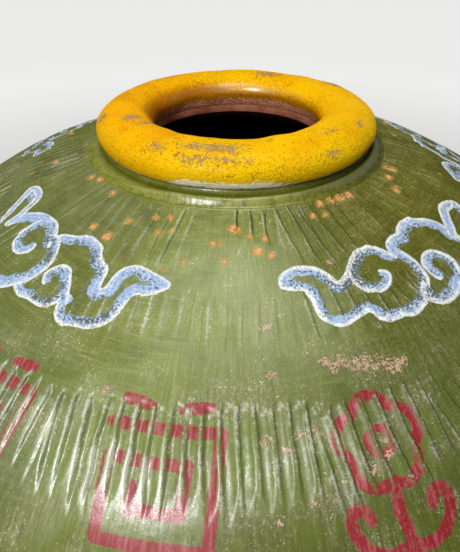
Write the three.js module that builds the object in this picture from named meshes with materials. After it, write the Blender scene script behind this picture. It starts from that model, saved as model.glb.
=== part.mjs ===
import * as THREE from 'three';

// A large storage jar raised by hand in courses: a floor slab, wall rings lapped on each other,
// a neck collar with a round bead, and a thick rolled lip. Two rings carry the grooves of a
// carved paddle. Millimetres, Z up, origin at the middle of the base.

// Body outline
const FOOT_RADIUS = 130;
const BELLY_RADIUS = 300;
const BELLY_HEIGHT = 391;
const DOME_RISE = 155; // from the belly to where the shoulder would meet the axis
const LOWER_FULLNESS = 1.7; // exponent of the lower wall, 1 is a straight cone
const DOME_FULLNESS = 1.8; // exponent of the shoulder, 2 is an ellipse

// Clay and joins
const WALL = 14;
const FLOOR = 18;
const FLOOR_COVE = 6; // height of the soft fillet between floor and wall
const COVE_RUN = 14; // how far that fillet reaches in over the floor
const FOOT_BEVEL = 3;
const LAP = 14; // how far a join slopes down the wall from its outer to its inner edge
const JOIN_GAP = 0.3;

// Courses, measured down the slope from the neck ring
const UPPER_FLUTES = { start: 4, length: 46, depth: 1.8 };
const LOWER_FLUTES = { start: 14, length: 40, depth: 2.2 };
const SEAM_LAND = 8; // smoothed clay between the end of the flutes and the join below
const PLAIN_COURSE = 44;
const LOWER_COURSES = 5;

// Paddle
const FLUTE_PITCH = 8;
const FLUTE_RUN_OUT = 3; // length over which a groove fades at each end
const BLOW_FLUTES = 9; // grooves that one blow of the paddle leaves
const BLOW_DRIFT = 0.24; // greatest sideways drift of a blow's groove ends, in pitches
const BLOW_TURN = 2.4; // radians by which the drift's wave moves on from one blow to the next

// Neck
const NECK_RING_RADIUS = 107.4;
const NECK_STEP = 0.9;
const BEAD_HALF_WIDTH = 7.9;
const BEAD_HEIGHT = 4.4;
const NECK_OUTER_RADIUS = 87;
const NECK_INNER_RADIUS = 64;
const NECK_RISE = 5; // from the neck ring to the seat of the lip
const NECK_EASE = 2; // softened corners of the neck wall
const NECK_THROAT = 5; // straight bore below the neck ring
const NECK_FLARE = 26; // how far the bore flares out to the inside of the shoulder

// Lip
const LIP_RADIUS = 80; // to the middle of the roll
const LIP_HALF_WIDTH = 20;
const LIP_HALF_HEIGHT = 13.5;
const LIP_SEAT_DEPTH = 9.5; // from the middle of the roll down to its flat seat

// Facets
const AROUND = 56;
const COURSE_FACETS = 3;
const BELLY_FACETS = 5;
const BEAD_FACETS = 4;
const FLARE_FACETS = 3;
const LIP_FACETS = 11;
const ARC_SAMPLES = 2000;

// Outline in the (radius, height) plane

class Shoulder extends THREE.Curve {
  getPoint(t, target = new THREE.Vector2()) {
    const start = Math.asin((NECK_RING_RADIUS / BELLY_RADIUS) ** (DOME_FULLNESS / 2));
    const angle = start + t * (Math.PI / 2 - start);
    const radius = BELLY_RADIUS * Math.sin(angle) ** (2 / DOME_FULLNESS);
    const rise = DOME_RISE * Math.max(0, Math.cos(angle)) ** (2 / DOME_FULLNESS);
    return target.set(radius, BELLY_HEIGHT + rise);
  }
}

class LowerWall extends THREE.Curve {
  getPoint(t, target = new THREE.Vector2()) {
    const swell = 1 - t ** LOWER_FULLNESS;
    return target.set(FOOT_RADIUS + (BELLY_RADIUS - FOOT_RADIUS) * swell, BELLY_HEIGHT * (1 - t));
  }
}

const shoulder = new Shoulder();
const lowerWall = new LowerWall();
shoulder.arcLengthDivisions = ARC_SAMPLES;
lowerWall.arcLengthDivisions = ARC_SAMPLES;
const bellySlope = shoulder.getLength();
const baseSlope = bellySlope + lowerWall.getLength();

// A slope is a distance down the outside of the wall from the neck ring.
function stretchAt(slope) {
  return slope < bellySlope
    ? { curve: shoulder, share: slope / bellySlope }
    : { curve: lowerWall, share: (slope - bellySlope) / (baseSlope - bellySlope) };
}

function outside(slope, depth = 0) {
  const { curve, share } = stretchAt(slope);
  const clamped = THREE.MathUtils.clamp(share, 0, 1);
  const along = curve.getTangentAt(clamped);
  const inward = new THREE.Vector2(along.y, -along.x);
  return curve.getPointAt(clamped).addScaledVector(inward, depth);
}

function inside(slope) {
  return outside(slope, WALL);
}

// Facing sides of a join lie JOIN_GAP apart, measured square to the join.
const joinSlope = JOIN_GAP * Math.hypot(LAP, WALL) / WALL;

// Walks the slope evenly from one place to another, both ends included.
function walk(from, to, steps, place) {
  return Array.from({ length: steps + 1 }, (_, i) => place(THREE.MathUtils.lerp(from, to, i / steps)));
}

// Solids of revolution: a closed section, its outer side drawn upwards

function turned(section) {
  return new THREE.LatheGeometry(section, AROUND).rotateX(Math.PI / 2);
}

function closed(section) {
  return [...section, section[0].clone()];
}

function plainCourse(top, bottom, facets) {
  const start = top + joinSlope;
  return turned(closed([
    ...walk(bottom, start, facets, outside),
    ...walk(start + LAP, bottom + LAP, facets - 1, inside),
  ]));
}

function footSlab(top) {
  const start = top + joinSlope;
  const lapEnd = inside(start + LAP);
  return turned([
    new THREE.Vector2(0, 0),
    new THREE.Vector2(FOOT_RADIUS - FOOT_BEVEL, 0),
    outside(baseSlope - FOOT_BEVEL),
    outside(start),
    lapEnd,
    new THREE.Vector2(lapEnd.x - COVE_RUN, FLOOR),
    new THREE.Vector2(0, FLOOR),
  ]);
}

function neckCollar() {
  const ring = outside(0);
  const beadRadius = ring.x - NECK_STEP - BEAD_HALF_WIDTH;
  const bead = new THREE.EllipseCurve(beadRadius, ring.y, BEAD_HALF_WIDTH, BEAD_HEIGHT, 0, Math.PI);
  const flareEnd = inside(0).y;
  const throat = ring.y - NECK_THROAT;
  const flare = new THREE.EllipseCurve(
    NECK_INNER_RADIUS + NECK_FLARE, throat, NECK_FLARE, throat - flareEnd, Math.PI, 1.5 * Math.PI);
  const seat = ring.y + NECK_RISE;
  return turned(closed([
    inside(LAP),
    ring,
    ...bead.getPoints(BEAD_FACETS),
    new THREE.Vector2(NECK_OUTER_RADIUS, seat - NECK_EASE),
    new THREE.Vector2(NECK_OUTER_RADIUS - NECK_EASE, seat),
    new THREE.Vector2(NECK_INNER_RADIUS + NECK_EASE, seat),
    new THREE.Vector2(NECK_INNER_RADIUS, seat - NECK_EASE),
    ...flare.getPoints(FLARE_FACETS),
  ]));
}

function rolledLip() {
  const seat = outside(0).y + NECK_RISE + JOIN_GAP;
  const seatAngle = Math.asin(LIP_SEAT_DEPTH / LIP_HALF_HEIGHT);
  const roll = new THREE.EllipseCurve(
    LIP_RADIUS, seat + LIP_SEAT_DEPTH, LIP_HALF_WIDTH, LIP_HALF_HEIGHT, -seatAngle, Math.PI + seatAngle);
  return turned(closed(roll.getSpacedPoints(LIP_FACETS)));
}

// Fluted courses: rings of points whose number changes where the grooves begin

// A ring is a list of { turn, radius, height }, with turn in revolutions.
function plainRing(at) {
  return walk(0, 1, AROUND, (turn) => ({ turn, radius: at.x, height: at.y })).slice(0, -1);
}

// Every second point lies in a groove. Each blow of the paddle drifts its own way along the slope.
function flutedRing(slope, flutes, count) {
  const ridge = outside(slope);
  const groove = outside(slope, flutes.depth);
  const along = 2 * (slope - flutes.middle) / flutes.length;
  return Array.from({ length: 2 * count }, (_, i) => {
    const blow = Math.floor(i / (2 * BLOW_FLUTES));
    const drift = BLOW_DRIFT * along * Math.cos(blow * BLOW_TURN);
    const at = i % 2 ? groove : ridge;
    return { turn: (i / 2 + drift) / count, radius: at.x, height: at.y };
  });
}

// Joins each ring to the next, and the last to the first, always stepping on the side that lags.
function skinned(rings) {
  const positions = [];
  const faces = [];
  const firsts = rings.map((ring) => {
    const first = positions.length / 3;
    for (const { turn, radius, height } of ring) {
      const angle = 2 * Math.PI * turn;
      positions.push(radius * Math.sin(angle), -radius * Math.cos(angle), height);
    }
    return first;
  });
  rings.forEach((near, k) => {
    const next = (k + 1) % rings.length;
    const far = rings[next];
    let a = 0;
    let b = 0;
    while (a < near.length || b < far.length) {
      const nearTurn = a < near.length ? (a + 1) / near.length : Infinity;
      const farTurn = b < far.length ? (b + 1) / far.length : Infinity;
      const nearPoint = firsts[k] + a % near.length;
      const farPoint = firsts[next] + b % far.length;
      if (nearTurn <= farTurn) {
        a += 1;
        faces.push(nearPoint, firsts[k] + a % near.length, farPoint);
      } else {
        b += 1;
        faces.push(nearPoint, firsts[next] + b % far.length, farPoint);
      }
    }
  });
  const geometry = new THREE.BufferGeometry();
  geometry.setAttribute('position', new THREE.Float32BufferAttribute(positions, 3));
  geometry.setIndex(faces);
  geometry.computeVertexNormals();
  return geometry;
}

function flutedCourse(top, bottom, band) {
  const start = top + joinSlope;
  const from = top + band.start;
  const to = from + band.length;
  const flutes = { depth: band.depth, length: band.length, middle: (from + to) / 2 };
  const count = Math.round(2 * Math.PI * outside(flutes.middle).x / FLUTE_PITCH);
  return skinned([
    plainRing(outside(bottom)),
    plainRing(outside(to)),
    ...walk(to - FLUTE_RUN_OUT, from + FLUTE_RUN_OUT, 2, (slope) => flutedRing(slope, flutes, count)),
    plainRing(outside(from)),
    plainRing(outside(start)),
    ...walk(start + LAP, bottom + LAP, COURSE_FACETS - 1, (slope) => plainRing(inside(slope))),
  ]);
}

// Finishes
const greenPaint = new THREE.MeshStandardMaterial({ color: 0x6b7a2c, roughness: 0.45, metalness: 0 });
const yellowPaint = new THREE.MeshStandardMaterial({ color: 0xf2b41c, roughness: 0.35, metalness: 0 });
const bareClay = new THREE.MeshStandardMaterial({ color: 0xb5714f, roughness: 0.85, metalness: 0 });

const jar = new THREE.Group();

function add(name, geometry, material) {
  const mesh = new THREE.Mesh(geometry, material);
  mesh.name = name;
  jar.add(mesh);
}

// Slope at which the inner edge of a join lies at the top of the floor's fillet
function footJoin() {
  let low = bellySlope;
  let high = baseSlope - LAP;
  while (high - low > 0.01) {
    const middle = (low + high) / 2;
    if (inside(middle + LAP).y > FLOOR + FLOOR_COVE) {
      low = middle;
    } else {
      high = middle;
    }
  }
  return low;
}

// Assembly, from the lip down
add('rolled_lip', rolledLip(), yellowPaint);
add('neck_collar', neckCollar(), greenPaint);

const upperJoin = UPPER_FLUTES.start + UPPER_FLUTES.length + SEAM_LAND;
const middleJoin = upperJoin + PLAIN_COURSE;
const lowerJoin = middleJoin + LOWER_FLUTES.start + LOWER_FLUTES.length + SEAM_LAND;
add('shoulder_course_1', flutedCourse(0, upperJoin, UPPER_FLUTES), greenPaint);
add('shoulder_course_2', plainCourse(upperJoin, middleJoin, COURSE_FACETS), greenPaint);
add('shoulder_course_3', flutedCourse(middleJoin, lowerJoin, LOWER_FLUTES), greenPaint);
add('shoulder_course_4', plainCourse(lowerJoin, bellySlope, BELLY_FACETS), greenPaint);

const slabJoin = footJoin();
const courseLength = (slabJoin - bellySlope) / LOWER_COURSES;
for (let course = LOWER_COURSES; course >= 1; course -= 1) {
  const top = slabJoin - course * courseLength;
  add(`wall_course_${course}`, plainCourse(top, top + courseLength, COURSE_FACETS), greenPaint);
}
add('foot_slab', footSlab(slabJoin), bareClay);

export default jar;
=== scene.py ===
"""A painted earthenware storage jar: paddled green shoulder, cloud scrolls, thick yellow lip."""

import math

import bpy
import numpy as np
from bpy.props import FloatProperty, FloatVectorProperty, IntProperty, PointerProperty
from mathutils import Matrix, Vector


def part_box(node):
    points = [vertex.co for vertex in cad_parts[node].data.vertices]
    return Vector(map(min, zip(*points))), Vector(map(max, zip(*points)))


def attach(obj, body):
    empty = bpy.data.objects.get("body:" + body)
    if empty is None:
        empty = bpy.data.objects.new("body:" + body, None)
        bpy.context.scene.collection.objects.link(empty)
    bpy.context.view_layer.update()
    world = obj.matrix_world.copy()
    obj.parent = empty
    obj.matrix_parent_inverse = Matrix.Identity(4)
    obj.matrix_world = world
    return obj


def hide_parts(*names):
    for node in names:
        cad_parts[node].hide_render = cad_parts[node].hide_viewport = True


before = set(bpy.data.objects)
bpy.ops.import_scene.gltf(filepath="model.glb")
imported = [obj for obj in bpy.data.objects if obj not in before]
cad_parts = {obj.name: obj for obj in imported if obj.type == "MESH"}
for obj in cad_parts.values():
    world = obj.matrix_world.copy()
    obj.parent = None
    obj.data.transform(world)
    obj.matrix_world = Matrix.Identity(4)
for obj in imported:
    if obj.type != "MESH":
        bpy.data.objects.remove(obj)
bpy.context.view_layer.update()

bl_info = {
    "name": "Painted storage jar",
    "version": (1, 0, 0),
    "blender": (4, 5, 0),
    "location": "3D View > Sidebar > Jar",
    "description": "Builds the visible surface of a hand-built and painted storage jar",
    "category": "Add Mesh",
}

MM = 0.001
TURN = 2 * math.pi
SHOULDER_RINGS = ("shoulder_course_1", "shoulder_course_2", "shoulder_course_3", "shoulder_course_4")
WALL_RINGS = ("wall_course_5", "wall_course_4", "wall_course_3", "wall_course_2", "wall_course_1")

# Distances between the rows and between the columns of the outer faces, closest on the flutes
SHOULDER_ROW, SHOULDER_COLUMNS = 0.0017, (0.0006, 0.0009, 0.0006, 0.0011)
WALL_ROW, WALL_COLUMN = 0.0030, 0.0022
INNER_ROWS = 9
MOST_FACES = 190000
NECK_COLUMNS = 1080
FOOT_COLUMNS = 720

# Paint and wear are measured no further than this, in mm
FAR = 20.0


# Sizes and colours that a user would change


def length(name, default, description):
    return FloatProperty(name=name, default=default, description=description, unit="LENGTH", precision=4)


def angle(name, degrees, description):
    return FloatProperty(
        name=name, default=math.radians(degrees), description=description, subtype="ANGLE")


def number(name, default, description):
    return FloatProperty(name=name, default=default, description=description)


def colour(name, default, description):
    return FloatVectorProperty(
        name=name, default=default, description=description, subtype="COLOR", size=3, min=0, max=1)


class JarBody(bpy.types.PropertyGroup):
    foot_radius: length("Foot radius", 0.130, "Radius of the base")
    belly_radius: length("Belly radius", 0.300, "Greatest radius of the body")
    belly_height: length("Belly height", 0.391, "Height of the greatest radius")
    dome_rise: length("Dome rise", 0.155, "From the belly to where the shoulder would meet the axis")
    lower_fullness: number("Lower fullness", 1.7, "Exponent of the lower wall, 1 is a straight cone")
    dome_fullness: number("Dome fullness", 1.8, "Exponent of the shoulder, 2 is an ellipse")
    wall: length("Wall", 0.014, "Thickness of the clay")
    lap: length("Lap", 0.014, "How far a join slopes down through the wall")
    floor: length("Floor", 0.018, "Thickness of the floor")
    foot_bevel: length("Foot bevel", 0.003, "Worn edge of the base")
    lump_height: length("Lump height", 0.0011, "Height of the hand-made unevenness")


class JarNeck(bpy.types.PropertyGroup):
    ring_radius: length("Ring radius", 0.1074, "Where the collar ends and the shoulder starts")
    bead_foot: length("Bead foot", 0.0008, "From the ring in to the foot of the bead about the neck")
    bead_crest: length("Bead crest", 0.0054, "From the ring in to the crest of the bead")
    bead_height: length("Bead height", 0.0043, "Height of that bead over the ring")
    valley: length("Valley", 0.0106, "From the ring in to the hollow between bead and lip")
    valley_height: length("Valley height", 0.0029, "Height of that hollow over the ring")
    seat_edge: length("Seat edge", 0.0135, "From the ring in to the edge of the seat under the lip")
    bore_radius: length("Bore radius", 0.064, "Inside of the neck")
    rise: length("Neck rise", 0.0053, "From the ring to the seat of the lip")
    flare: length("Flare", 0.026, "How far the bore flares out to the shoulder")
    lip_radius: length("Lip radius", 0.080, "To the middle of the roll")
    lip_width: length("Lip width", 0.040, "Width of the roll")
    lip_height: length("Lip height", 0.027, "Height of the roll, were it whole")
    seat_depth: length("Seat depth", 0.0095, "From the middle of the roll to its flat seat")


class JarPaddle(bpy.types.PropertyGroup):
    pitch: length("Pitch", 0.008, "Distance between paddle grooves")
    blow_width: length("Blow width", 0.074, "Width of the paddle")
    lean: angle("Lean", 8, "Greatest lean of a blow")


class JarPaint(bpy.types.PropertyGroup):
    green: colour("Green", (0.175, 0.20, 0.028), "Ground colour of the body")
    green_deep: colour("Deep green", (0.085, 0.105, 0.010), "Its thick and shaded places")
    # Pale green also serves for the painted highlights on the crests, at the neck ring and on the collar's
    # bead
    green_pale: colour("Pale green", (0.33, 0.36, 0.13), "Its rubbed places")
    yellow: colour("Yellow", (0.94, 0.52, 0.001), "Colour of the lip")
    orange: colour("Orange", (0.70, 0.25, 0.002), "Thick places in the yellow")
    blue: colour("Blue", (0.33, 0.45, 0.66), "Body of the cloud scrolls")
    blue_deep: colour("Deep blue", (0.22, 0.32, 0.50), "Brush streaks in the scrolls")
    blue_pale: colour("Pale blue", (0.50, 0.60, 0.74), "Thick places beside the line")
    cream: colour("Cream", (0.79, 0.80, 0.76), "Line along the scrolls")
    red: colour("Red", (0.25, 0.014, 0.022), "Row of ornaments")
    clay: colour("Clay", (0.68, 0.27, 0.10), "Chips down to the fired clay")
    # The inside is near black: painted shade
    inside: colour("Inside", (0.02, 0.009, 0.006), "Unpainted inside")
    brush_width: length("Brush width", 0.0055, "Strokes of the ornaments")
    ornaments: IntProperty(name="Ornaments", default=15, description="Ornaments around the shoulder")
    ornament_slope: length("Ornament slope", 0.145, "Their distance down the wall")


class JarStage(bpy.types.PropertyGroup):
    floor_colour: colour("Floor", (0.86, 0.85, 0.83), "Colour of the floor")
    key_power: number("Key light", 9.6, "Power of the soft light beside the camera")
    top_power: number("Top light", 3.3, "Power of the soft light over the mouth")
    back_power: number("Back light", 3.2, "Power of the low light behind the jar")
    world_strength: number("Room light", 0.2, "Light from all round")
    backdrop: number("Backdrop", 0.82, "How pale the room looks")
    floor_glow: number("Floor glow", 0.2, "How much paler the floor looks by the jar than its light makes it")
    camera_distance: length("Camera distance", 0.35494, "From the middle of the mouth")
    camera_rise: angle("Camera rise", 18.819, "Its height over the mouth")
    camera_tilt: angle("Camera tilt", 37.684, "How far it looks down")
    camera_yaw: angle("Camera yaw", -0.880, "How far it looks to the right")
    camera_roll: angle("Camera roll", -0.478, "Turn about its own axis")
    camera_lens: number("Lens", 30, "Focal length in mm on a 36 mm sensor")


# Outline and relief


# Rows of random heights in all, and those of them above the neck ring
LUMP_ROWS, ROWS_ABOVE = 260, 8

# Lumps of the hand-made wall: their size in metres, seed and share of the height
BODY_LUMPS = ((0.09, 1, 0.6), (0.035, 2, 0.35), (0.012, 3, 0.14), (0.005, 4, 0.07))


def smooth(low, high, value):
    """0 below low, 1 above high, and a cubic step between."""
    share = np.clip((value - low) / (high - low), 0, 1)
    return share * share * (3 - 2 * share)


def lumps(turn, slope, size, seed, girth=1.4):
    """Random heights from -1 to 1 on a grid with cells about size across, read between its points
    with a cubic step. The grid closes on itself around the jar, and starts above the neck ring."""
    columns = max(3, round(girth / size))
    u, v = np.broadcast_arrays(turn / TURN * columns, slope / size + ROWS_ABOVE)
    column, row = np.floor(u).astype(int), np.floor(v).astype(int)
    table = np.random.default_rng(seed).uniform(-1, 1, (LUMP_ROWS, columns))
    a, b = smooth(0, 1, u - column), smooth(0, 1, v - row)
    near, far = column % columns, (column + 1) % columns
    top = table[row, near] * (1 - a) + table[row, far] * a
    bottom = table[row + 1, near] * (1 - a) + table[row + 1, far] * a
    return top * (1 - b) + bottom * b


class Outline:
    """Outside of the body against slope, the distance down the wall from the neck ring.

    Shoulder: radius = belly * sin(a)^(2/n) and height = belly height + rise * cos(a)^(2/n).
    Lower wall: radius = foot + (belly - foot) * (1 - t^m) and height = belly height * (1 - t).
    """

    def __init__(self, body, neck, samples=4000):
        share = np.linspace(0, 1, samples)
        start = math.asin((neck.ring_radius / body.belly_radius) ** (body.dome_fullness / 2))
        bend = start + (math.pi / 2 - start) * share
        power = 2 / body.dome_fullness
        dome = np.stack([
            body.belly_radius * np.sin(bend) ** power,
            body.belly_height + body.dome_rise * np.maximum(np.cos(bend), 0) ** power])
        swell = 1 - share ** body.lower_fullness
        lower = np.stack([
            body.foot_radius + (body.belly_radius - body.foot_radius) * swell,
            body.belly_height * (1 - share)])
        self.line = np.concatenate([dome, lower[:, 1:]], axis=1)
        self.slope = np.concatenate([[0], np.cumsum(np.hypot(*np.diff(self.line, axis=1)))])
        self.base = self.slope[-1]

    def at(self, slope):
        """Radius and height at each slope."""
        return np.interp(slope, self.slope, self.line[0]), np.interp(slope, self.slope, self.line[1])

    def slope_at(self, height):
        """The slope at which the wall passes a height."""
        return float(np.interp(-height, -self.line[1], self.slope))

    def outward(self, slope, reach=0.001):
        """Outward normal in the (radius, height) plane: the run across a short chord, turned."""
        r0, z0 = self.at(np.clip(slope - reach, 0, self.base))
        r1, z1 = self.at(np.clip(slope + reach, 0, self.base))
        size = np.hypot(r1 - r0, z1 - z0)
        return -(z1 - z0) / size, (r1 - r0) / size

    def place(self, turn, slope, lift=0.0):
        """Points at a turn around the jar (0 is the front) and a slope, lifted along the normal."""
        radius, height = self.at(slope)
        out_r, out_z = self.outward(slope)
        return revolve(turn, radius + out_r * lift, height + out_z * lift)


def revolve(turn, radius, height):
    """Points (radius * sin(turn), -radius * cos(turn), height) on a grid of turns and rows."""
    return np.stack(np.broadcast_arrays(radius * np.sin(turn), -radius * np.cos(turn), height), axis=-1)


class PaddleBand:
    """One row of paddle blows around the jar, each a patch of parallel flutes.

    Across one pitch the paddle's face climbs from the bottom of the flute with about the square of
    the distance, up to the crest at CREST of the pitch, and falls to the next flute down a steep
    side, whose middle is at STEEP. The clay is pressed wherever that face is below it, so that flutes
    narrow where a blow fades: it bites at its upper end, fades at its lower end and falls off at its
    sides. Where blows overlap the deeper one counts. Calm spans, in degrees with a share, weaken the
    blows there. Blows follow one another at OVERLAP of their width, each slips by up to DROP, and the
    ends of its flutes vary by RAGGED.
    """

    CREST, STEEP = 0.76, 0.89
    OVERLAP = 0.84
    FLUTES = 64
    DROP, RAGGED = 0.0025, 0.0022

    def __init__(self, outline, paddle, start, extent, depth, seed, calm=(), only=None):
        self.extent, self.depth = extent, depth
        self.pitch, self.width = paddle.pitch, paddle.blow_width
        self.middle = start + extent / 2
        self.radius = float(outline.at(self.middle)[0])
        self.blows = max(3, round(TURN * self.radius / (self.OVERLAP * self.width)))
        random = np.random.default_rng(seed)
        self.centre = (np.arange(self.blows) + random.uniform(-0.15, 0.15, self.blows)) * TURN / self.blows
        self.lean = random.uniform(-0.35, 1, self.blows) * paddle.lean
        self.strength = random.uniform(0.6, 1, self.blows)
        degrees = (np.degrees(self.centre) + 180) % 360 - 180
        for low, high, share in calm:
            self.strength[(degrees > low) & (degrees < high)] *= share
        if only is not None:
            self.blows, self.width = 1, only[1]
            self.centre, self.lean, self.strength = np.radians(only[:1]), np.radians(only[2:]), np.ones(1)
        self.drop = random.uniform(-1, 1, self.blows) * self.DROP
        self.phase = random.uniform(0, 1, self.blows)
        self.bite = random.uniform(0.45, 1, (self.blows, self.FLUTES))
        self.ragged = random.uniform(-1, 1, (self.blows, self.FLUTES, 2))

    def press(self, turn, slope, outline):
        """How deep the clay is pressed, how firmly the blow struck there from 0 to 1, and two waves
        with one cycle to the pitch, which reach 1 on the crest and on the middle of the steep side."""
        deepest = np.zeros(np.broadcast(turn, slope).shape)
        firmness = np.zeros_like(deepest)
        crest, steep = np.full_like(deepest, -1.0), np.full_like(deepest, -1.0)
        radius = 0.5 * (outline.at(slope)[0] + self.radius)
        waver = lumps(turn, slope, 0.012, 5) * 0.0006 + lumps(turn, slope, 0.004, 6) * 0.0003
        for step in (0, 1):
            blow = (np.floor(turn / TURN * self.blows).astype(int) + step) % self.blows
            across = ((turn - self.centre[blow] + math.pi) % TURN - math.pi) * radius
            down = slope - self.middle - self.drop[blow]
            lean = self.lean[blow]
            x = across * np.cos(lean) - down * np.sin(lean) + waver
            y = across * np.sin(lean) + down * np.cos(lean) + self.extent / 2
            cycle = x / self.pitch + self.phase[blow]
            flute = np.floor(cycle).astype(int)
            part = cycle - flute
            climb = np.clip(part / self.CREST, 0, 1) ** 2.2
            ridge = climb * (1 - smooth(self.CREST - 0.02, 0.99, part))
            sides = 1 - smooth(0.40, 0.52, np.abs(x) / self.width)
            ragged = self.ragged[blow, flute % self.FLUTES] * self.RAGGED
            top = smooth(-0.001, 0.002, y - ragged[..., 0])
            bottom = 1 - smooth(self.extent * 0.62, self.extent * 1.04, y - ragged[..., 1] * 2)
            window = sides * top * bottom
            force = self.strength[blow] * self.bite[blow, flute % self.FLUTES] * window
            stronger = force > firmness
            firmness = np.where(stronger, force, firmness)
            crest = np.where(stronger, np.cos(TURN * (part - self.CREST)), crest)
            steep = np.where(stronger, np.cos(TURN * (part - self.STEEP)), steep)
            deepest = np.maximum(deepest, self.depth * np.maximum(0, force - ridge))
        return deepest, firmness, crest, steep


# Start, extent and depth of each row of blows in metres, the seed of its blows, and its calm spans
PADDLE_ROWS = (
    (0.003, 0.046, 0.0022, 11, ((-24, 4, 0.12), (-75, -24, 0.55), (4, 20, 0.35), (110, 170, 0.5))),
    (0.059, 0.028, 0.0013, 12, (
        (-60, -20, 0.65), (-20, 14, 0.62), (14, 42, 0.9), (42, 80, 0.35), (100, 220, 0.5))),
    (0.114, 0.044, 0.0028, 13, ()),
    (0.190, 0.045, 0.0009, 14, ((20, 90, 0.4), (150, 240, 0.5))),
    (0.300, 0.060, 0.0008, 15, ((-30, 60, 0.4),)),
    (0.420, 0.060, 0.0008, 16, ((100, 200, 0.4),)),
)

# Single blows with the narrow paddle: degrees around, width and lean, then start, extent, depth, seed
SINGLE_BLOWS = (
    (5.6, 0.026, -4, 0.0005, 0.026, 0.0024, 17),
    (27.5, 0.046, 3, 0.001, 0.044, 0.0023, 18),
    (141.0, 0.028, 3, 0.001, 0.030, 0.0020, 19),
)

# A blow as deep as this wears the paint fully, and blows reach no further than the margin
FIRM_DEPTH = 0.0018
BLOW_MARGIN = 0.02


def body_relief(turn, slope, outline, body, paddle):
    """Height of the skin over the outline, and the marks of the paddle for the paint: rows of flutes,
    and lumps in four sizes that fade towards the neck ring."""
    pressed = np.zeros(np.broadcast(turn, slope).shape)
    marks = {"blow": pressed, "crest": pressed - 1, "steep": pressed - 1}
    rows = [(*row, None) for row in PADDLE_ROWS]
    rows += [(*row[3:], (), row[:3]) for row in SINGLE_BLOWS]
    for start, extent, depth, seed, calm, only in rows:
        if start - BLOW_MARGIN < slope.max() and slope.min() < start + extent + BLOW_MARGIN:
            band = PaddleBand(outline, paddle, start, extent, depth, seed, calm, only)
            deep, firmness, crest, steep = band.press(turn, slope, outline)
            firmness = firmness * min(1, depth / FIRM_DEPTH)
            struck = firmness > marks["blow"]
            for name, values in (("crest", crest), ("steep", steep), ("blow", firmness)):
                marks[name] = np.where(struck, values, marks[name])
            pressed = np.maximum(pressed, deep)
    lumpy = sum(lumps(turn, slope, size, seed) * share for size, seed, share in BODY_LUMPS)
    lift = lumpy * body.lump_height * smooth(0, 0.02, slope)
    return lift - pressed * smooth(0, 0.002, slope), marks


# Painted figures, drawn in mm: across to the right, down the slope


def curve_through(points, steps=6):
    """Points along a smooth curve through the given ones: between two of them a cubic, whose slope at
    each is half the way from the point before it to the point after it."""
    p = np.array(points, float)
    p = np.concatenate([[2 * p[0] - p[1]], p, [2 * p[-1] - p[-2]]])
    before, start, end, after = p[:-3, None], p[1:-2, None], p[2:-1, None], p[3:, None]
    t = (np.arange(steps) / steps)[None, :, None]
    spans = 0.5 * (
        2 * start + (end - before) * t + (2 * before - 5 * start + 4 * end - after) * t ** 2
        + (3 * start - before - 3 * end + after) * t ** 3)
    return np.concatenate([spans.reshape(-1, 2), p[-2:-1]])


class Stroke:
    """One pull of the brush. The outer side is 1 where the cream line runs on the left of the pull, -1
    on its right and 0 on both. Scallops round off the other edge."""

    # A scallop is pi times this long in mm, and towards its ends a stroke nears this share of its width
    SCALLOP = 3.4
    THIN_END = 0.75

    def __init__(self, width, outer, points, scallops=0.0):
        self.half, self.outer, self.scallops = width / 2, outer, scallops
        self.path = curve_through(points)

    def reach(self, points, outline, centre, mirror):
        """For each point in space: its distance outside the stroke's edge, its distance from the
        centre line, positive on the outer side, and how far along the stroke it is, all in mm."""
        slope = self.path[:, 1] * MM
        turn = centre + mirror * self.path[:, 0] * MM / outline.at(slope)[0]
        line = outline.place(turn, slope) / MM
        start, run = line[:-1], np.diff(line, axis=0)
        size = np.linalg.norm(run, axis=1)
        offset = points[:, None, :] / MM - start
        share = np.clip((offset * run).sum(-1) / size ** 2, 0, 1)
        offset = offset - share[..., None] * run
        distance = np.linalg.norm(offset, axis=-1)
        nearest = distance.argmin(axis=1)
        pick = np.arange(len(points)), nearest
        along = (np.cumsum(size) - size)[nearest] + share[pick] * size[nearest]
        out_r, out_z = outline.outward(slope[:-1])
        normal = revolve(turn[:-1], out_r, out_z)
        left = np.cross(normal, run / size[:, None])[nearest]
        side = (left * offset[pick]).sum(-1) * mirror
        distance = distance[pick]
        outer = np.where(self.outer * side >= 0, distance, -distance)

        # Half width: less towards the ends, and on the inner side waved by |sin(along / SCALLOP)|
        taper = smooth(-2.5, 4, np.minimum(along, size.sum() - along))
        wave = self.half * (1 - self.scallops * (1 - np.abs(np.sin(along / self.SCALLOP))))
        half = np.where(outer >= 0, self.half, wave) * (self.THIN_END + (1 - self.THIN_END) * taper)
        return distance - half, outer, along

    def moved(self, shift):
        """The same stroke, further down the slope."""
        copy = Stroke(self.half * 2, self.outer, self.path[:2], self.scallops)
        copy.path = self.path + (0, shift)
        return copy


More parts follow.
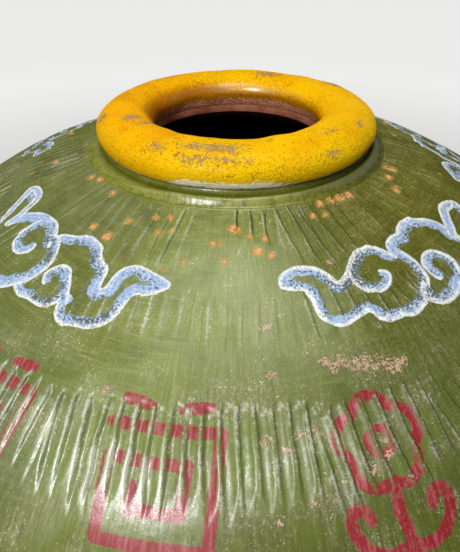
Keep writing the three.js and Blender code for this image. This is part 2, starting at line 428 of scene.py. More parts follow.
CLOUD_WITH_CREST = (
    Stroke(8, 1, ((-49, 59), (-45, 55), (-40, 51), (-33, 47), (-25, 45), (-18, 45), (-13, 47), (-9, 51),
                  (-5, 54)), 0.25),
    Stroke(6, -1, ((-27, 48), (-29, 53), (-31, 59), (-30, 64), (-25, 67), (-20, 67), (-16, 64), (-15, 61))),
    Stroke(7, 1, ((-68, 45), (-62, 43), (-55, 44))),
    Stroke(5, 0, ((-63, 72), (-62, 63), (-64, 55), (-68, 47), (-70, 43), (-66, 40), (-60, 39), (-54, 40),
                  (-51, 44), (-50, 51), (-50, 58), (-52, 64))),
    Stroke(6.7, 1, ((0, 56), (-3, 52), (-2, 48), (3, 46), (11, 43), (14, 41), (20, 42), (25, 44), (28, 48),
                    (35, 53), (39, 55), (42, 63), (43, 66), (47, 68), (50, 67), (52, 64), (51, 56), (52, 52),
                    (56, 50), (62, 51), (69, 53), (76, 55)), 0.35),
    Stroke(6, 1, ((76, 55), (70, 59), (65, 60), (62, 63), (62, 67), (63, 76), (62, 79), (59, 82), (55, 84),
                  (47, 85), (44, 87)), 0.3),
    Stroke(5.4, 1, ((44, 87), (39, 85), (36, 81), (35, 78), (36, 76))),
    Stroke(5.2, -1, ((-1, 80), (1, 82), (7, 84), (12, 83), (18, 83), (24, 83), (28, 81), (31, 77)), 0.35),
    Stroke(6, -1, ((35, 78), (31, 74), (28, 70), (24, 66), (21, 63), (17, 63), (14, 66), (13, 69), (15, 72))),
    Stroke(7.5, 1, ((-5, 50), (0, 55), (3, 59), (5, 64), (4, 69), (2, 75), (-2, 79), (-6, 83), (-12, 87),
                    (-22, 90), (-34, 89), (-46, 85), (-56, 78), (-62, 70)), 0.2),
)

CLOUD_WITH_TAIL = (
    Stroke(6, 1, ((-53, 53), (-50, 49), (-44, 46), (-39, 46), (-35, 47), (-32, 50), (-30, 54), (-29, 57),
                  (-27, 59), (-23, 58), (-18, 55), (-13, 50), (-7, 45), (-2, 43), (3, 43), (7, 46), (10, 50),
                  (12, 52)), 0.25),
    Stroke(5.5, -1, ((-53, 53), (-49, 54), (-44, 55), (-42, 58), (-41, 63), (-42, 68), (-42, 72), (-40, 75),
                   (-36, 77), (-31, 76), (-25, 74), (-20, 73), (-17, 75), (-15, 79), (-12, 81), (-8, 81),
                   (-3, 81)), 0.35),
    Stroke(6.2, -1, ((-3, 81), (2, 82), (7, 81), (12, 79), (16, 75), (21, 71), (22, 66), (22, 61), (20, 56),
                   (17, 50)), 0.3),
    Stroke(5, -1, ((-16, 55), (-16, 58), (-14, 62), (-10, 64), (-5, 65), (0, 63), (2, 60), (0, 58))),
    Stroke(7.8, 1, ((16, 51), (18, 46), (23, 44), (28, 44), (34, 40), (42, 39), (48, 42), (55, 47), (60, 52),
                  (62, 57), (65, 63), (68, 66)), 0.4),
    Stroke(6.2, -1, ((50, 79), (58, 77), (66, 73), (75, 72), (83, 68), (91, 61), (95, 54), (90, 50)), 0.3),
    Stroke(7, 0, ((90, 50), (79, 48), (73, 52), (69, 57), (65, 61))),
    Stroke(7, -1, ((19, 75), (18, 79), (22, 83), (28, 84), (35, 83), (42, 80), (50, 79)), 0.3),
    Stroke(5.8, 1, ((32, 73), (30, 69), (30, 64), (34, 61), (40, 62), (45, 67), (47, 71), (46, 77))),
)

# Each cloud about the jar: its place in degrees, its strokes, and -1 where it is mirrored
CLOUDS = (
    (-40, CLOUD_WITH_CREST, 1),
    (28, CLOUD_WITH_TAIL, 1),
    (104, CLOUD_WITH_CREST, -1),
    (176, CLOUD_WITH_TAIL, -1),
    (-112, CLOUD_WITH_TAIL, -1),
)


# Points along each straight side of a fret
SIDE_POINTS = 12


def fret_strokes(width):
    """A square spiral of one pull, with short bars above and below it."""
    return (
        Stroke(width, 0, square_path((
            (-25, -22), (25, -22), (25, 24), (-23, 24), (-23, -8), (12, -8), (12, 11), (-10, 11), (-10, 2)))),
        Stroke(width, 0, square_path(((-19, -33), (-7, -31)))),
        Stroke(width, 0, square_path(((7, -31), (19, -33)))),
        Stroke(width, 0, square_path(((-13, 35), (13, 35)))),
    )


def square_path(corners):
    """Points along straight sides, SIDE_POINTS to each, so that the curve through them keeps its corners."""
    corners = np.array(corners, float)
    shares = np.linspace(0, 1, SIDE_POINTS, endpoint=False)[None, :, None]
    sides = corners[:-1, None] + (corners[1:, None] - corners[:-1, None]) * shares
    return np.concatenate([sides.reshape(-1, 2), corners[-1:]])


def blossom_strokes(width):
    """A round flower: radius = 16 + 4 * |cos(5/2 angle)|, a ring at its heart, a stem and two
    hooked leaves."""
    turn = np.linspace(0, TURN, 41) + 0.2
    radius = 16 + 4 * np.abs(np.cos(2.5 * turn))
    petals = np.stack([radius * np.sin(turn), -12 - radius * np.cos(turn)], axis=1)
    heart = np.stack([5.5 * np.sin(turn), -12 - 5.5 * np.cos(turn)], axis=1)
    leaf = np.array([(2, 30), (9, 31), (17, 28), (22, 21), (22, 14), (17, 12), (14, 17)], float)
    return (
        Stroke(width * 0.9, 0, petals),
        Stroke(width * 0.8, 0, heart),
        Stroke(width, 0, ((0, 8), (-1, 16), (1, 26), (0, 36))),
        Stroke(width, 0, leaf),
        Stroke(width, 0, leaf * (-1, 1)),
    )


# Chips down to the clay: degrees around, mm down the slope, radius in mm
CHIPS = (
    (-30.8, 33.9, 2.6), (-28.6, 19.8, 1.7), (-36.3, 31.5, 1.5), (-41.5, 5.4, 1.6), (-51.7, 2.6, 2.2),
    (-56, 5, 1.8), (-22.2, 12, 1.3), (-18.1, 9.9, 1.5), (-19.2, 23, 1.4), (-16, 19.9, 1.5), (-5.4, 26, 1.5),
    (-3.4, 25.1, 1.2), (-10.8, 39.4, 1.2), (-2.4, 37.6, 1.4), (-14.3, 46, 1.0), (-0.2, 15.2, 2.9),
    (3.7, 20.2, 1.5), (7, 22.1, 1.6), (4.7, 31.0, 2.4), (7.8, 33.9, 1.7), (26.7, 2.8, 1.9), (30.8, 2, 2.3),
    (34.2, 2.7, 2.4), (37.9, 4.1, 2.2), (22.1, 10.4, 1.5), (25.8, 11, 1.5), (64, 3.8, 2.0), (64.7, 8.5, 2.3),
    (58.3, 9.1, 1.6), (53.9, 17.6, 2.3),
)
CHIP_SPREAD = 1.2

# Rubbed places down to the pale ground, in the same units, and a row of them side by side
SCUFFS = (
    (19.3, 43.5, 1.8), (3.5, 68, 1.6), (4.6, 75, 2.4), (5.2, 81, 1.2), (4.6, 98, 1.8), (9.6, 152, 1.8),
    (16.5, 139, 2.2), (17.9, 150, 1.8), (-7, 131, 1.6), (4.2, 158, 1.6), (7, 125, 2.2), (8.9, 123, 1.6),
    (3.4, 126, 2.4), (5.3, 130, 1.6), (14.4, 143, 2.6), (16.3, 133, 1.6), (7.7, 152, 1.8), (-16, 111, 2.2),
    (-9.3, 120, 1.4),
    *((12.2 + 1.05 * k, 94.8 + 0.95 * k + 1.5 * math.sin(2.4 * k), 3.3 + 0.8 * math.sin(1.7 * k))
      for k in range(11)),
)

# Spots at random: how many, between which mm down the slope, seed, radii in mm, and the degrees to
# each side of the front that stay clear of them, where each spot has its own place
STRAY_CHIPS = ((40, 3, 60, 21, (0.8, 2.2), 75), (60, 60, 650, 22, (0.6, 1.8), 0))
STRAY_SCUFFS = ((90, 90, 660, 23, (0.8, 3), 30),)

# The first ornament's place in degrees
FIRST_ORNAMENT = -8


def scattered(count, low, high, seed, sizes, keep_clear):
    """Random spots between two slopes in mm, away from the front."""
    random = np.random.default_rng(seed)
    degrees = random.uniform(keep_clear, 360 - keep_clear, count)
    return np.stack([degrees, random.uniform(low, high, count), random.uniform(*sizes, count)], axis=1)


class Painting:
    """Distances from each point of a ring to the painted figures and the worn spots, in mm."""

    # How far from a stroke the paint is measured, and how much wider it is taken to be, because the
    # mean of its points is not its middle
    MARGIN, SPREAD = 0.012, 1.3

    def __init__(self, turn, slope, outline, paint):
        self.turn, self.slope, self.outline = turn[0], slope[:, 0], outline
        shape = len(self.slope), len(self.turn)
        names = "cloud_gap", "cloud_side", "cloud_run", "red_gap", "chip_gap", "scuff_gap"
        self.fields = {name: np.full(shape, FAR) for name in names}
        for degrees, strokes, mirror in CLOUDS:
            self.lay(math.radians(degrees), strokes, mirror, self.paint_cloud)
        figures = fret_strokes(paint.brush_width / MM), blossom_strokes(paint.brush_width / MM)
        for k in range(paint.ornaments):
            moved = [stroke.moved(paint.ornament_slope / MM) for stroke in figures[k % 2]]
            self.lay(math.radians(FIRST_ORNAMENT + k * 360 / paint.ornaments), moved, 1, self.paint_red)
        self.wear("chip_gap", np.array(CHIPS) * (1, 1, CHIP_SPREAD), STRAY_CHIPS)
        self.wear("scuff_gap", SCUFFS, STRAY_SCUFFS)

    def window(self, centre, low, high, reach):
        """Rows and columns near a place, the points there, and the shape of their grid."""
        rows = np.flatnonzero((self.slope > low) & (self.slope < high))
        away = (self.turn - centre + math.pi) % TURN - math.pi
        radius = self.outline.at(self.slope[rows])[0].min() if len(rows) else 1
        columns = np.flatnonzero(np.abs(away) < reach / radius)
        points = self.outline.place(self.turn[None, columns], self.slope[rows, None])
        return np.ix_(rows, columns), points.reshape(-1, 3), (len(rows), len(columns))

    def lay(self, centre, strokes, mirror, paint_with):
        for stroke in strokes:
            down = stroke.path[:, 1] * MM
            across = centre + mirror * stroke.path[:, 0].mean() * MM / self.outline.at(down.mean())[0]
            spread = np.ptp(stroke.path[:, 0]) / 2 * MM * self.SPREAD + self.MARGIN
            low, high = down.min() - self.MARGIN, down.max() + self.MARGIN
            area, points, shape = self.window(across, low, high, spread)
            if len(points):
                found = stroke.reach(points, self.outline, centre, mirror)
                paint_with(area, *(values.reshape(shape) for values in found))

    def paint_cloud(self, area, gap, side, run):
        """A later stroke lies over the earlier ones with its lined side, and joins them elsewhere."""
        over = (gap < self.fields["cloud_gap"][area]) | ((gap < 0.5) & (side > 0))
        for name, values in (("cloud_gap", gap), ("cloud_side", side), ("cloud_run", run)):
            self.fields[name][area] = np.where(over, values, self.fields[name][area])

    def paint_red(self, area, gap, *others):
        self.come_nearer("red_gap", area, gap)

    def wear(self, name, placed, stray):
        reach = FAR * MM
        for degrees, down, radius in np.concatenate([placed, *(scattered(*row) for row in stray)]):
            turn, slope = math.radians(degrees), down * MM
            area, points, shape = self.window(turn, slope - reach, slope + reach, reach)
            if len(points):
                away = np.linalg.norm(points - self.outline.place(turn, slope), axis=1) / MM
                self.come_nearer(name, area, (away - radius).reshape(shape))

    def come_nearer(self, name, area, gap):
        self.fields[name][area] = np.minimum(self.fields[name][area], gap)


# Meshes


def ring_mesh(name, grid, sharp_rows=(), attributes=None, poles=None, slots=None):
    """A closed skin over grid[row, column]. Rows close on themselves, and the last one on the first
    unless two poles cap them. Faces point out when rows run up the outside."""
    rows, columns = grid.shape[:2]
    index = np.arange(rows * columns).reshape(rows, columns)
    right = np.roll(index, -1, axis=1)
    strips = rows if poles is None else rows - 1
    up, up_right = np.roll(index, -1, axis=0), np.roll(right, -1, axis=0)
    quads = np.stack([index, right, up_right, up], axis=-1)[:strips].reshape(-1, 4)
    points, corners, sizes = grid.reshape(-1, 3), [quads.ravel()], [np.full(len(quads), 4)]
    if poles is not None:
        points = np.concatenate([points, poles])
        low, high = len(points) - 2, len(points) - 1
        for fan in (
                np.stack([np.full(columns, low), right[0], index[0]], axis=-1),
                np.stack([np.full(columns, high), index[-1], right[-1]], axis=-1)):
            corners.append(fan.ravel())
            sizes.append(np.full(columns, 3))
    corners, sizes = np.concatenate(corners), np.concatenate(sizes)
    mesh = bpy.data.meshes.new(name)
    mesh.vertices.add(len(points))
    mesh.vertices.foreach_set("co", points.astype(np.float32).ravel())
    mesh.loops.add(len(corners))
    mesh.loops.foreach_set("vertex_index", corners.astype(np.int32))
    mesh.polygons.add(len(sizes))
    mesh.polygons.foreach_set("loop_start", (np.cumsum(sizes) - sizes).astype(np.int32))
    mesh.update(calc_edges=True)
    mesh.polygons.foreach_set("use_smooth", np.ones(len(sizes), bool))
    ends = np.empty(len(mesh.edges) * 2, np.int32)
    mesh.edges.foreach_get("vertices", ends)
    row_of = np.concatenate([np.repeat(np.arange(rows), columns), [-1, -2]])
    ends = row_of[ends.reshape(-1, 2)]
    sharp = (ends[:, 0] == ends[:, 1]) & np.isin(ends[:, 0], sharp_rows)
    mesh.attributes.new("sharp_edge", "BOOLEAN", "EDGE").data.foreach_set("value", sharp)
    for label, values in (attributes or {}).items():
        per_point = values.shape[2] if values.ndim == 3 else 1
        flat = np.zeros((len(points), per_point), np.float32)
        flat[:rows * columns] = values.reshape(rows * columns, per_point)
        kind, slot = ("FLOAT_VECTOR", "vector") if per_point == 3 else ("FLOAT", "value")
        mesh.attributes.new(label, kind, "POINT").data.foreach_set(slot, flat.ravel())
    if slots is not None:
        face_slots = np.zeros(len(sizes), np.int32)
        face_slots[:strips * columns] = np.repeat(slots, columns)
        face_slots[strips * columns:] = slots[-1]
        mesh.polygons.foreach_set("material_index", face_slots)
    mesh.validate()
    piece = bpy.data.objects.new(name, mesh)
    bpy.context.scene.collection.objects.link(piece)
    return piece


def settle(piece, node, slot, *materials):
    """The piece takes the place of its CAD node."""
    for material in materials:
        piece.data.materials.append(material)
    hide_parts(node)
    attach(piece, "root")


def around(columns):
    return (np.arange(columns) / columns * TURN)[None, :]


def glide(turn, run):
    """Coordinates that close around the jar: (sin(turn), -cos(turn), run), run in mm along the wall."""
    return np.stack(np.broadcast_arrays(np.sin(turn), -np.cos(turn), run / MM), axis=-1)


# Materials


# Shades beside the paints, for wear, painted shade and painted sheen: on the green ground
WHITE, BLACK = (1, 1, 1), (0, 0, 0)
MOSS = (0.19, 0.24, 0.012)
# Painted sheen: milky green in front, grey over the lower shoulder
MILKY_GREEN = (0.40, 0.48, 0.24)
GREY_SHEEN = (0.26, 0.29, 0.30)
LEAF_GREEN = (0.15, 0.205, 0.012)
PALE_DASH = (0.48, 0.51, 0.36)
CREAM_FLECK = (0.70, 0.62, 0.36)
# Painted shade with some age: tints that darken the sides, the right and the lower shoulder
SHADE_AND_AGE_SIDE, SHADE_AND_AGE_RIGHT, SHADE_AND_AGE_LOW = (0.50, 0.49, 0.36), (0.62, 0.50, 0.34), (0.53, 0.52, 0.53)
THIN_RED = (0.39, 0.09, 0.10)
SCUFF_DARK, SCUFF_PALE = (0.30, 0.17, 0.11), (0.70, 0.49, 0.36)
CHIP_RIM = (0.50, 0.33, 0.05)
PALE_CLAY = (1, 0.62, 0.3)

# On the collar, with painted shade in the hollow, at the foot of the bead and to the right
OLIVE_DEEP, OLIVE = (0.115, 0.13, 0.010), (0.205, 0.22, 0.022)
HOLLOW_SHADE_GREEN, BEAD_FOOT_SHADE = (0.10, 0.11, 0.012), (0.05, 0.06, 0.005)
COLLAR_SHADE = (0.42, 0.40, 0.5)
OCHRE_FLECK = (0.5, 0.48, 0.2)

# On the lip, with painted shade deep in the mouth, and its bare clay
SOFT_YELLOW, OUTER_YELLOW = (0.90, 0.60, 0.003), (0.88, 0.57, 0.004)
PIT_BROWN, DASH_BROWN, CRACK_BROWN = (0.42, 0.19, 0.006), (0.50, 0.22, 0.008), (0.25, 0.11, 0.008)
LEFT_TINT = (0.98, 0.86, 1)
WORN_BROWN, WORN_TAN = (0.24, 0.12, 0.04), (0.55, 0.37, 0.19)
EDGE_CREAM, EDGE_GREEN, UNDER_GREEN = (0.95, 0.88, 0.66), (0.22, 0.24, 0.06), (0.19, 0.21, 0.03)
MOUTH_SHADE_BROWN = (0.2, 0.04, 0.0)
FIRED_DEEP, FIRED_LIP, FIRED_NECK = (0.28, 0.08, 0.035), (0.76, 0.33, 0.19), (0.66, 0.28, 0.16)
FOOT_CLAY = (0.25, 0.1, 0.05)

COAT_IOR = 1.8


class Wire:
    """A socket in Python arithmetic: each operator adds its Math node."""

    def __init__(self, nodes, socket):
        self.nodes, self.socket = nodes, socket

    def __add__(self, other):
        return self.nodes.maths("ADD", self, other)

    def __sub__(self, other):
        return self.nodes.maths("SUBTRACT", self, other)

    def __rsub__(self, other):
        return self.nodes.maths("SUBTRACT", other, self)

    def __mul__(self, other):
        return self.nodes.maths("MULTIPLY", self, other)

    __radd__, __rmul__ = __add__, __mul__


class Nodes:
    """A node tree, and ways to add to it."""

    def __init__(self, tree):
        self.tree = tree

    def fill(self, socket, value):
        """Gives a socket its wire or its value."""
        if isinstance(value, Wire):
            self.tree.links.new(value.socket, socket)
        elif socket.type == "RGBA":
            socket.default_value = (*value, 1)
        else:
            socket.default_value = value

    def node(self, kind, settings=None, output=0, **sockets):
        """Adds a node, gives it its settings, then fills its sockets, by name or by _number."""
        made = self.tree.nodes.new(kind)
        for key, value in (settings or {}).items():
            setattr(made, key, value)
        for key, value in sockets.items():
            self.fill(made.inputs[int(key[1:]) if key[0] == "_" else key], value)
        return Wire(self, made.outputs[output])

    def maths(self, operation, first, second):
        return self.node("ShaderNodeMath", {"operation": operation}, _0=first, _1=second)

    def step(self, value, low, high):
        """0 below low and 1 above high, or the other way round where low is the greater."""
        return self.node(
            "ShaderNodeMapRange", {"interpolation_type": "SMOOTHSTEP"},
            **{"Value": value, "From Min": low, "From Max": high})

    def between(self, value, start, full, fade, end):
        """Rises from 0 to 1 between start and full, and falls to 0 between fade and end."""
        return self.step(value, start, full) * self.step(value, end, fade)

    def blend(self, first, second, share, kind="MIX"):
        """From the first colour to the second."""
        return self.node(
            "ShaderNodeMix", {"data_type": "RGBA", "blend_type": kind}, 2, _0=share, _6=first, _7=second)

    def tint(self, first, second, share):
        """The first colour times the second, by a share."""
        return self.blend(first, second, share, "MULTIPLY")

    def layers(self, ground, *layers):
        """Colours laid over one another, each by its share."""
        for colour, share in layers:
            ground = self.blend(ground, colour, share)
        return ground

    def seen(self):
        """1 for the rays of the camera, of reflections and of glass, else 0."""
        rays = [self.node("ShaderNodeLightPath", output=kind)
                for kind in ("Is Camera Ray", "Is Glossy Ray", "Is Transmission Ray")]
        return self.maths("MAXIMUM", self.maths("MAXIMUM", rays[0], rays[1]), rays[2])


class Finish(Nodes):
    """A material and the nodes behind its shader."""

    def __init__(self, name):
        self.material = bpy.data.materials.new(name)
        self.material.use_nodes = True
        super().__init__(self.material.node_tree)
        self.shader = self.tree.nodes["Principled BSDF"]
        self.place = self.node("ShaderNodeTexCoord", output="Object")
        self.dress(Specular_IOR_Level=0)

    def dress(self, **sockets):
        """Fills the shader's sockets, whose names have _ for a space here."""
        for key, value in sockets.items():
            self.fill(self.shader.inputs[key.replace("_", " ")], value)

    def field(self, name, output="Fac"):
        return self.node("ShaderNodeAttribute", {"attribute_name": name}, output)

    def noise(self, scale, detail=2.0, vector=None, roughness=0.55):
        """Smooth noise about 0.5, with this many cells to the unit."""
        vector = vector or self.place
        return self.node("ShaderNodeTexNoise", Vector=vector, Scale=scale, Detail=detail, Roughness=roughness)

    def drawn_out(self, cells, detail=2):
        """Noise that follows the wall, with this many cells to the radius and to the mm down it."""
        factors = cells[0], cells[0], cells[1]
        return self.noise(1, detail, self.node(
            "ShaderNodeVectorMath", {"operation": "MULTIPLY"}, _0=self.field("glide", "Vector"), _1=factors))

    def whereabouts(self):
        """How far to the right and to the back a point is, from -1 to 1, and how many mm down the wall."""
        made = self.node("ShaderNodeSeparateXYZ", Vector=self.field("glide", "Vector")).socket.node
        return [Wire(self, socket) for socket in made.outputs]

    def coat(self, weight, roughness):
        """A clear coat that shines only where its weight lets it."""
        self.dress(Coat_Weight=weight, Coat_Roughness=roughness, Coat_IOR=COAT_IOR)

    def done(self, colour, roughness, height):
        """Joins colour, roughness and a height in mm to the shader."""
        bump = self.node("ShaderNodeBump", output="Normal", Height=height, Distance=MM)
        self.dress(Base_Color=colour, Roughness=roughness, Normal=bump)
        return self.material


def mixed(first, second, share):
    """A colour between two, worked out here and not in the shader."""
    return tuple(a + (b - a) * share for a, b in zip(first, second))


def green_finish(name, paint):
    """The painted outside: green ground, ridges, clouds, ornaments, then wear over all of it."""
    finish = Finish(name)
    step, between, noise, field = finish.step, finish.between, finish.noise, finish.field
    grain, mottle = noise(1700, 2, roughness=0.7), noise(480, 3, roughness=0.7)
    patch, cloudy, dabs = noise(55, 3), noise(9, 2), noise(850, 1)
    gritty, mottled, patchy = grain - 0.5, mottle - 0.5, patch - 0.5
    hatch, brushed = finish.drawn_out((150, 0.07)), finish.drawn_out((9, 0.6))
    right, facing, run = finish.whereabouts()
    side = right + (cloudy - 0.5) * 0.7
    blow = field("blow")
    deep, pale = paint.green_deep, paint.green_pale

    # The paddle's ridges: painted shadow on the steep side, worn paint and a painted highlight on the crest,
    # a painted highlight at the neck ring
    shadow = step(field("steep") + mottled * 1.6, 0.5, 1.05) * step(blow, 0.05, 0.6)
    # Crest lines widen where the key light's sheen falls: partly wear, partly painted sheen
    rub_and_sheen_patch = step(run + patchy * 30, 126, 142) * step(run, 168, 156)
    rub_and_sheen_patch = rub_and_sheen_patch * between(side, -0.42, -0.26, -0.08, 0.0)
    rub = field("crest") + rub_and_sheen_patch * 0.35 + mottled * 1.1 + gritty * 0.7 + patchy * 0.9
    # Worn paint and a painted highlight along each crest
    rubbed_and_highlit = step(rub + gritty * 0.5, 0.78, 1.1) * step(blow, 0.08, 0.45)
    rubbed_and_highlit = rubbed_and_highlit * (1 - step(run, 60, 40) * (0.35 + step(side, -0.1, -0.4) * 0.25))
    # Painted highlight along the edge of the neck ring, in front
    ring_highlight = step(run + mottled * 1.5, 1.2, 0.5) * between(side, -0.45, -0.15, 0.2, 0.45)

    # The ground: brush marks across in some places and lengthwise in others, a painted sheen in front
    lengthwise = step(cloudy + patchy * 0.5, 0.42, 0.56)
    hatched, crossed = 0.15 + lengthwise * 0.4, 0.4 - lengthwise * 0.35
    # Painted sheen: the front lighter and milkier
    front_sheen = between(side, -0.45, -0.25, 0.15, 0.42) * between(run, 12, 35, 90, 115)
    lower = step(run + patchy * 40, 80, 125) * (1 - step(run, 180, 240) * 0.75)
    dashes = finish.drawn_out((210, 0.42), 1) + patch * 0.45 + gritty * 0.4
    flecks = noise(900, 1) + patch * 0.4 + step(side, -0.1, 0.3) * step(run, 70, 110) * 0.035
    ground = finish.layers(
        deep,
        (paint.green, step(cloudy + patch * 0.9, 0.62, 1.0)),
        (MOSS, step(cloudy + mottle * 0.3, 0.6, 0.5) * 0.5),
        (pale, step(patch + mottle * 0.8, 0.88, 1.2) * 0.4),
        (deep, step(hatch + mottle * 0.7, 0.86, 0.62) * hatched),
        (pale, step(hatch + mottle * 0.9, 0.96, 1.16) * hatched),
        (deep, step(brushed + mottle * 0.4, 0.66, 0.5) * crossed),
        (pale, step(brushed + mottle * 0.5, 0.78, 0.95) * crossed),
        (mixed(deep, BLACK, 0.3), step(grain, 0.5, 0.33) * 0.45),
        (mixed(pale, WHITE, 0.1), step(grain, 0.53, 0.68) * 0.45),
        (mixed(deep, BLACK, 0.2), shadow * 0.6),
        (mixed(pale, WHITE, 0.38), rubbed_and_highlit * 0.74),
        (mixed(pale, WHITE, 0.1), ring_highlight * 0.6),
        (MILKY_GREEN, front_sheen * 0.16),
        # Painted sheen: grey over the lower shoulder
        (GREY_SHEEN, lower * step(run, 168, 150) * 0.10),
        (LEAF_GREEN, lower * step(patch + mottle * 0.3, 0.68, 0.54) * 0.45),
        (PALE_DASH, step(dashes, 0.84, 0.98) * (0.12 + lower * 0.4)),
        (CREAM_FLECK, step(flecks, 0.935, 0.965) * 0.85))
    # Painted shade with some age: darker to the right, the far left and low down, less at the back and below
    # the belly
    shade_and_age = (
        step(side, 0.0, 0.5) * 0.85 + step(side, -0.28, -0.6) * 0.6 + step(run + patch * 30, 155, 190) * 0.5
        + step(run, 120, 210) * step(side, 0.25, 0.6) * 0.25
        + step(run, 78, 95) * between(side, -0.12, 0.1, 0.25, 0.4) * 0.25)
    shade_and_age = shade_and_age * (1 - step(facing, 0.0, 0.7) * 0.6) * (1 - step(run, 250, 420) * 0.6)
    shade_and_age_tint = finish.layers(SHADE_AND_AGE_SIDE, (SHADE_AND_AGE_RIGHT, step(side, 0.35, 0.65)), (SHADE_AND_AGE_LOW, step(run, 40, 90)))
    ground = finish.tint(ground, shade_and_age_tint, shade_and_age)

    # The clouds: blue streaked along the pull, its inner edge thin, and a cream line on its outer side
    edge = mottled * 2.4 + gritty * 1.4
    cloud_gap, cloud_side = field("cloud_gap"), field("cloud_side")
    pull = finish.node("ShaderNodeCombineXYZ", X=cloud_side * 0.8, Y=field("cloud_run") * 0.1)
    streak = noise(1, 3, pull)
    inner = step(cloud_side, 2.2, -2.5)
    cloud = step(cloud_gap + edge * (1 + inner * 0.9) - inner * 0.35, 0.25, -0.3)
    pits = step(dabs + patch * 0.9 + inner * 0.14, 1.09, 1.15)
    whitened = step(streak + gritty * 0.9 + step(side, 0.1, 0.6) * 0.16, 0.58, 0.86)
    blue = finish.layers(
        paint.blue_deep,
        (paint.blue, step(streak + mottle * 0.4, 0.5, 0.8)),
        (paint.blue_pale, step(streak + grain * 0.7 - inner * 0.15, 0.82, 1.05) * 0.8),
        (paint.cream, step(grain + mottle * 0.6 + patch * 0.3, 0.99, 1.06) * 0.7),
        (paint.cream, whitened * (1 - inner * 0.6) * 0.5))
    rim = cloud_gap + edge * 0.8
    line = step(rim, 0.5, 0.1) * step(rim + (patchy + gritty) * 3 + step(side, -0.2, 0.2) * 0.6, -2.0, -0.5)
    line = line * step(cloud_side, 0.3, 1.0) * step(mottle + patch * 0.5 + gritty * 0.4, 0.52, 0.72)

    # The ornaments, thin between the bristles and worn off the crests
    red = step(field("red_gap") + edge * 0.8, 0.2, -0.35)
    red_colour = finish.blend(paint.red, THIN_RED, step(hatch + mottle * 0.6, 0.72, 1.0) * 0.8)
    bared = step(rub, -0.1, 0.9) * step(blow, 0.08, 0.4)
    kept = 1 - bared * 0.85 - step(grain + mottle * 0.5, 0.80, 0.92) * 0.6

    # Scuffs and chips
    scuff = step(field("scuff_gap") + mottled * 12 + gritty * 5, 0.6, -0.6) * step(dabs, 0.42, 0.5)
    worn = finish.blend(SCUFF_DARK, SCUFF_PALE, step(grain, 0.4, 0.6))
    chip_gap = field("chip_gap") + mottled * 7 + gritty * 5
    chip = step(chip_gap, 0.0, -0.3) * step(dabs, 0.36, 0.43)
    pale_rust = mixed(paint.clay, PALE_CLAY, 0.42)
    rust = finish.blend(paint.clay, pale_rust, step(grain + mottle * 0.4, 0.55, 0.85))
    shaded = finish.layers(
        ground,
        (blue, cloud * (1 - step(grain + mottle * 0.5, 0.6, 0.5) * 0.65)),
        (paint.cream, line * 0.92),
        (mixed(deep, BLACK, 0.35), pits * (cloud * 0.85 - line * 0.3)),
        (red_colour, red * kept),
        (worn, scuff * 0.85),
        (CHIP_RIM, step(chip_gap, 1.0, 0.2) * 0.55),
        (rust, chip * 0.95))

    # Gloss: some over all of the front's left half, most on and below the second fluted band there
    shiny = step(side, 0.5, 0.05) * step(facing, 0.4, -0.2) * (1 - chip * 0.8) * (0.45 - cloud * 0.25)
    polished = step(run + patchy * 60, 120, 150) * step(run, 166, 151)
    polished = polished * between(side, -0.5, -0.35, -0.08, 0.04)
    satin = step(run + patchy * 60, 95, 135) * step(run - step(side, -0.18, -0.26) * 25, 170, 150)
    satin = satin * between(side, -0.9, -0.6, -0.05, 0.15)
    satin = satin * (0.3 + step(hatch + mottle * 0.6, 0.6, 0.9) * 0.7)
    matted = step(mottle * 0.8 + grain, 0.98, 0.8)
    finish.coat((shiny + polished * 0.33 + satin * 0.8) * (0.3 + matted * 0.7) + 0.04, 0.34)
    height = (
        cloud * 0.10 + line * 0.08 + red * 0.06 - chip * 0.35 - scuff * 0.15 - pits * cloud * 0.15
        + mottle * 0.24 + grain * 0.07 + hatch * 0.14 + brushed * 0.08)
    return finish.done(shaded, 0.4 + mottle * 0.2, height)


def collar_finish(name, paint):
    """The collar: thick glossy olive, with darker paint and painted shade in the hollow, painted shade at the
    foot of the bead and to the right, and a painted highlight along the bead's crest.
    """
    finish = Finish(name)
    step, between, noise = finish.step, finish.between, finish.noise
    grain, mottle = noise(1500, 2, roughness=0.7), noise(480, 3, roughness=0.65)
    drawn, ripples = finish.drawn_out((14, 0.35)), finish.drawn_out((70, 0.15))
    side = finish.whereabouts()[0]
    across = finish.field("collar_run") + (mottle + drawn - 1) * 2
    shade = finish.layers(
        OLIVE_DEEP,
        (OLIVE, step(mottle * 0.6 + drawn, 0.6, 0.95)),
        # Painted highlight along the bead's crest, strongest on the right
        (paint.green_pale, between(across, 2.5, 4.5, 6.5, 8.0) * (0.3 + step(side, 0.45, 0.7) * 0.4)),
        # Darker paint and painted shade in the hollow under the lip, and painted shade at the foot of the
        # bead
        (HOLLOW_SHADE_GREEN, step(across, 8.0, 10.0) * 0.55),
        (BEAD_FOOT_SHADE, step(across, 1.2, 0.2) * 0.2))
    shade = finish.tint(shade, COLLAR_SHADE, step(side, 0.15, 0.75))
    shade = finish.blend(shade, OCHRE_FLECK, step(noise(700, 1), 0.73, 0.77) * 0.5)
    broken = step(ripples + (mottle - 0.5) * 0.8, 0.36, 0.62)
    finish.coat(between(side, -0.75, -0.45, 0.2, 0.5) * (0.25 + broken * 0.55) + 0.08, 0.3)
    return finish.done(shade, 0.3 + mottle * 0.2, mottle * 0.14 + grain * 0.05 + drawn * 0.12)


